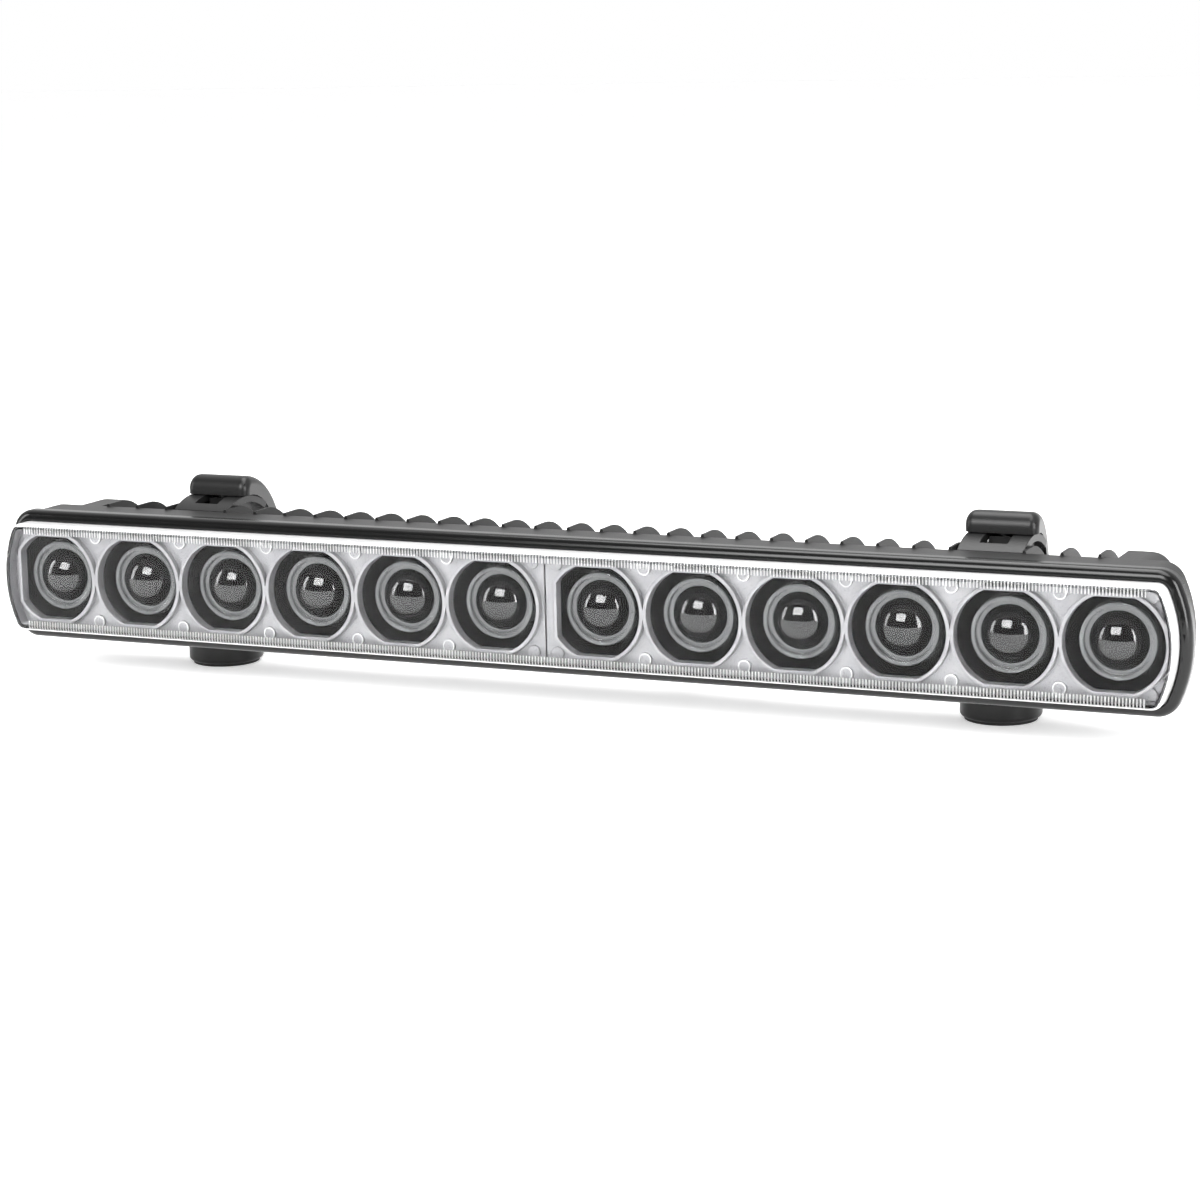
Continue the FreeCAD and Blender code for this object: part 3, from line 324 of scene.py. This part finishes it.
def turned(shape, outline, centre, rounding, steps=64, rounded_from=1, segments=3):
    """Spin an outline of (radius, depth) points about the line through centre along Y.

    Its corners from rounded_from on are rounded, all but the last.
    """
    corners = [shape.verts.new((centre.x + radius, depth, centre.z)) for radius, depth in outline]
    for start, end in zip(corners, corners[1:]):
        shape.edges.new((start, end))
    if rounding:
        bmesh.ops.bevel(shape, geom=corners[rounded_from:-1], offset=rounding, offset_type="OFFSET",
                        affect="VERTICES", segments=segments, profile=0.5, material=-1)
    bmesh.ops.spin(shape, geom=shape.verts[:] + shape.edges[:], cent=(centre.x, 0, centre.z), axis=(0, 1, 0),
                   angle=2 * pi, steps=steps, use_merge=True)
    bmesh.ops.remove_doubles(shape, verts=shape.verts, dist=0.002 * MM)
    bmesh.ops.recalc_face_normals(shape, faces=shape.faces)


LENS_DOME_RADIUS = 10.4 * MM
LENS_DOME_HEIGHT = 7 * MM
LENS_RIM_WALL = 1.5 * MM
LENS_RIM_HEIGHT = 2 * MM
LENS_FLANGE = 2.5 * MM
LENS_STEM_RADIUS = 9 * MM
LENS_ROUNDING = 0.3 * MM
LENS_SPIN_STEPS = 72
DOME_STEPS = 14


def glass(name, low, high, ior, roughness):
    """Clear moulding with a faint unevenness in its tint and polish."""
    clear = Finish(name, Transmission_Weight=1.0, IOR=ior)
    swirl = clear.noise(4 * MM, 3)
    clear.vary(Base_Color=clear.between(swirl, low, high), Roughness=swirl * 0.02 + roughness)
    return clear


lens_clear = glass("optical_acrylic", (0.86, 0.89, 0.9, 1), (0.95, 0.97, 0.98, 1), 1.49, 0.01)
lens_clear.vary(Transmission_Weight=0.82)
# Opaque dark dome: painted shade standing for the dark well seen through the clear lens; its high polish is
# real.
dome_shade_finish = Finish("dome_painted_shade", IOR=1.6)
dome_tone = dome_shade_finish.noise(6 * MM)
dome_shade_finish.vary(Base_Color=dome_shade_finish.between(dome_tone, grey(0.004), grey(0.009)),
               Roughness=dome_tone * 0.02 + 0.01)


def make_lens(number):
    """One lens, whose outline runs from the crown of the dome round the rim and flange to the stem."""
    node = f"lens_{number:02d}"
    low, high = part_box(node)
    centre = (low + high) / 2
    radius = (high.x - low.x) / 2
    ball = (LENS_DOME_RADIUS ** 2 + LENS_DOME_HEIGHT ** 2) / (2 * LENS_DOME_HEIGHT)
    shoulder = low.y + LENS_DOME_HEIGHT
    outline = []
    for n in range(DOME_STEPS + 1):
        across = LENS_DOME_RADIUS * sin(pi / 2 * n / DOME_STEPS)
        outline.append((across, low.y + ball - (ball ** 2 - across ** 2) ** 0.5))
    dome_end = len(outline)
    outline += [(radius - LENS_RIM_WALL, shoulder), (radius - LENS_RIM_WALL, shoulder - LENS_RIM_HEIGHT),
                (radius, shoulder - LENS_RIM_HEIGHT), (radius, shoulder + LENS_FLANGE),
                (LENS_STEM_RADIUS, shoulder + LENS_FLANGE), (LENS_STEM_RADIUS, high.y), (0, high.y)]
    shape = bmesh.new()
    turned(shape, outline, centre, LENS_ROUNDING, LENS_SPIN_STEPS, rounded_from=dome_end, segments=2)
    optic = finished(f"optic_{number:02d}", shape, "lamp", lens_clear, "lens_clear", node)
    # The dome faces get the opaque dark finish, painted shade in place of the clear dome.
    optic.data.materials.append(dome_shade_finish.material)
    for face in optic.data.polygons:
        across = Vector((face.center.x - centre.x, face.center.z - centre.z)).length
        face.material_index = int(across < LENS_DOME_RADIUS and face.center.y < shoulder)


for number in range(1, 13):
    make_lens(number)


# ---- lens masks: two silver bezels, one in front of each six lenses, clipped over the holders.
# They are metallised plastic with a fine satin grain and raised collars. Round bosses carry a
# glossy ring each, whose lighter silver is a painted highlight for the light caught on the boss edges.

satin_silver = Finish("satin_silver", Metallic=0.3)
fine = satin_silver.noise(0.5 * MM, 4)
patches = satin_silver.noise(9 * MM, 4)
cloudy = satin_silver.between(patches, (0.22, 0.215, 0.235, 1), (0.50, 0.50, 0.51, 1))
satin_silver.vary(Base_Color=satin_silver.between(fine * 0.5, cloudy, grey(0.5)), Roughness=fine * 0.2 + 0.2)
satin_silver.raised(fine, 0.08 * MM, 0.5 * MM)
satin_silver.coat("lens_mask_left", "lens_mask_right")

BOSS_RING_WALL = 0.5 * MM
BOSS_RING_HEIGHT = 0.45 * MM
BOSS_RADIUS = 2.4 * MM
BOSS_RISE = 16.5 * MM
BOSS_FRONT = 5.5 * MM

# Lighter glossy silver for the boss rings: a painted highlight for light on the rounded edges of the bosses.
ring_highlight_finish = Finish("boss_ring_painted_highlight", Metallic=0.3)
ring_highlight_finish.vary(Base_Color=ring_highlight_finish.between(ring_highlight_finish.noise(0.8 * MM), grey(0.7), grey(0.85)),
              Roughness=ring_highlight_finish.noise(0.5 * MM) * 0.1 + 0.12)


def join(whole, piece):
    """Move a bmesh into a larger one."""
    mesh = bpy.data.meshes.new("piece")
    piece.to_mesh(mesh)
    piece.free()
    whole.from_mesh(mesh)
    bpy.data.meshes.remove(mesh)


highlight_rings = bmesh.new()
ring_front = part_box("front_cover")[0].y + BOSS_FRONT
ring_back = ring_front + BOSS_RING_HEIGHT
ring_bore = BOSS_RADIUS - BOSS_RING_WALL
for number in range(1, 12):
    if number == 6:
        continue  # the two masks meet here
    left_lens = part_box(f"lens_{number:02d}")
    right_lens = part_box(f"lens_{number + 1:02d}")
    across = (left_lens[0].x + right_lens[1].x) / 2
    middle = (left_lens[0].z + left_lens[1].z) / 2
    for level in (-1, 1):
        ring = bmesh.new()
        turned(ring, [(ring_bore, ring_back), (ring_bore, ring_front), (BOSS_RADIUS, ring_front),
                      (BOSS_RADIUS, ring_back), (ring_bore, ring_back)],
               Vector((across, 0, middle + BOSS_RISE * level)), 0, 32)
        join(highlight_rings, ring)
# Rings in the lighter silver, a painted highlight on each boss.
finished("highlight_rings", highlight_rings, "lamp", ring_highlight_finish, "silver_mask")


# ---- clear cover: one polycarbonate moulding with rounded shoulders, over a flat rubber seal.
# A row of fine upright flutes inside its top and bottom borders hides the edge of the masks, and a
# silver skirt lines its side walls.

FLUTE_PITCH = 1.2 * MM
FLUTE_HEIGHT = 2.8 * MM
FLUTE_RADIUS = 0.3 * MM
COVER_WALL = 1.8 * MM
FLUTE_BORDER = 3.1 * MM
FLUTE_END_MARGIN = 11 * MM
FLUTE_SINK = 0.6
SHOULDER_TURN = 0.8

clear_cover = glass("clear_polycarbonate", (0.96, 0.965, 0.97, 1), (1, 1, 1, 1), 1.45, 0.003)
clear_cover.vary(Specular_Tint=grey(0.12))
clear_cover.coat("front_cover")
# The cover's shoulder faces, turned away from the front, get a pale half-opaque finish: a painted highlight
# for the glare on the clear cover's rounded shoulders.
shoulder_highlight_finish = Finish("cover_shoulder_painted_highlight", Transmission_Weight=0.35, IOR=1.5)
shoulder_highlight_finish.vary(Base_Color=shoulder_highlight_finish.between(shoulder_highlight_finish.noise(6 * MM), grey(0.8), grey(0.95)),
                 Roughness=shoulder_highlight_finish.noise(1 * MM) * 0.1 + 0.12)
cover_mesh = frame["nodes"]["front_cover"].data
cover_mesh.materials.append(shoulder_highlight_finish.material)
for face in cover_mesh.polygons:
    face.material_index = int(abs(face.normal.y) < SHOULDER_TURN)
frosted = Finish("frosted_flutes", Transmission_Weight=0.35, IOR=1.45)
frosted.vary(Base_Color=frosted.between(frosted.noise(5 * MM), grey(0.75), grey(0.95)),
             Roughness=frosted.noise(1 * MM) * 0.2 + 0.25)

SKIRT_GAP = 0.35 * MM
SKIRT_WALL = 0.4 * MM
SKIRT_START = 0.05 * MM
UPRIGHT = 0.02
BAR_SLIMNESS = 20

cover_low, cover_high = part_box("front_cover")
skirt = bmesh.new()
skirt.from_mesh(frame["nodes"]["front_cover"].data)
bmesh.ops.remove_doubles(skirt, verts=skirt.verts, dist=0.001 * MM)
inner_front = cover_low.y + COVER_WALL + SKIRT_START
centre = (cover_low + cover_high) / 2


def is_inner_wall(face):
    """Side wall of the cover's hollow: upright faces that look towards the middle of the bar."""
    place = face.calc_center_median() - centre
    inward = face.normal.x * place.x / BAR_SLIMNESS + face.normal.z * place.z
    return abs(face.normal.y) < UPRIGHT and inward < 0 and place.y + centre.y > inner_front


outside = [face for face in skirt.faces if not is_inner_wall(face)]
bmesh.ops.delete(skirt, geom=outside, context="FACES")
skirt.normal_update()
for corner in skirt.verts:
    corner.co += corner.normal * SKIRT_GAP
bmesh.ops.solidify(skirt, geom=skirt.faces[:], thickness=SKIRT_WALL)
finished("mask_skirt", skirt, "lamp", satin_silver, "silver_mask")

flute_depth = cover_low.y + COVER_WALL + FLUTE_RADIUS * FLUTE_SINK
flutes = bmesh.new()
flute_count = int((cover_high.x - cover_low.x - FLUTE_END_MARGIN * 2) / FLUTE_PITCH)
for level in (-1, 1):
    border = cover_high.z if level > 0 else cover_low.z
    height = border - level * (FLUTE_BORDER + FLUTE_HEIGHT / 2)
    for n in range(flute_count):
        across = (n - (flute_count - 1) / 2) * FLUTE_PITCH
        bmesh.ops.create_cone(flutes, cap_ends=True, segments=8, radius1=FLUTE_RADIUS, radius2=FLUTE_RADIUS,
                              depth=FLUTE_HEIGHT, matrix=Matrix.Translation((across, flute_depth, height)))
finished("cover_flutes", flutes, "lamp", frosted, "clear_cover")

rubber = Finish("black_rubber", Specular_IOR_Level=0.3)
rubber.vary(Base_Color=rubber.between(rubber.noise(2 * MM), grey(0.012), grey(0.02)),
            Roughness=rubber.noise(0.5 * MM) * 0.15 + 0.6)
rubber.coat("cover_seal", "rear_seal", "gland_sleeve", "foot_pad_left", "foot_pad_right")


# ---- bezel frame: a half-round black moulding that clamps the cover down on its seal.
# It is satin glass-filled plastic, smooth along its rolled outer edge.

frame_black = moulded("frame_black", 0.004, 0.2, 0.2 * MM, texture_depth=0.004 * MM, shine=0.3)
frame_black.coat("front_frame")


# ---- rear cover: a coated plate over the driver bay, with the cable gland and a pressure vent.
# Four screws hold it down on a thin rubber seal, and the gland is moulded nylon.

SCREW_HEAD_RADIUS = 2.8 * MM
SCREW_SOCKET_RADIUS = 1.3 * MM
SCREW_SOCKET_DEPTH = 1 * MM
SCREW_SHANK_RADIUS = 1.5 * MM
SCREW_HEAD_HEIGHT = 1.8 * MM
SCREW_ROUNDING = 0.25 * MM

powder_coat("rear_cover_coat", 0.01, 0.42).coat("rear_cover")
gland_nylon = moulded("gland_nylon", 0.012, 0.36)
gland_nylon.coat("gland_body")

screw_low, screw_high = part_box("rear_cover_screws")
screws = bmesh.new()
top = screw_high.y
under_head = top - SCREW_HEAD_HEIGHT
for across in (screw_low.x + SCREW_HEAD_RADIUS, screw_high.x - SCREW_HEAD_RADIUS):
    for height in (screw_low.z + SCREW_HEAD_RADIUS, screw_high.z - SCREW_HEAD_RADIUS):
        screw = bmesh.new()
        turned(screw, [(0, top - SCREW_SOCKET_DEPTH), (SCREW_SOCKET_RADIUS, top - SCREW_SOCKET_DEPTH),
                       (SCREW_SOCKET_RADIUS, top), (SCREW_HEAD_RADIUS, top), (SCREW_HEAD_RADIUS, under_head),
                       (SCREW_SHANK_RADIUS, under_head), (SCREW_SHANK_RADIUS, screw_low.y), (0, screw_low.y)],
               Vector((across, 0, height)), SCREW_ROUNDING, 32)
        join(screws, screw)
finished("rear_screws", screws, "lamp", steel, "steel", "rear_cover_screws")


def six_sided(node, bore, lip):
    """Six-sided nut or cap about the node's own axis along Y, with an open bore."""
    low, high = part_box(node)
    radius = (high.x - low.x) / 2
    shape = bmesh.new()
    turned(shape, [(bore, low.y), (radius, low.y), (radius, high.y - lip), (radius - lip, high.y),
                   (bore, high.y), (bore, low.y)], (low + high) / 2, 0, 6)
    return shape


GLAND_BORE = 6.05 * MM
finished("gland_lock_nut", six_sided("gland_nut", GLAND_BORE, 0.4 * MM), "lamp", gland_nylon,
         "gland_plastic", "gland_nut")
gland_nylon.coat("gland_cap", "vent_plug")


# ---- brackets: curved saddles on the bar, and C-shaped arms with a hood above and a round foot.
# Arms and saddles are coated castings, the hoods are moulded plastic caps over the clamp screws.

powder_coat("bracket_coat", 0.007, 0.38).coat(
    "saddle_left_upper", "saddle_left_lower", "saddle_right_upper", "saddle_right_lower",
    "bracket_arm_left", "bracket_arm_right")
hood_plastic = moulded("hood_plastic", 0.008, 0.34)
hood_plastic.coat("bracket_hood_left", "bracket_hood_right")
bare_metal("black_steel", grey(0.1), 0.3).coat("clamp_screw_left", "clamp_screw_right", "clamp_nut_left",
                                               "clamp_nut_right")
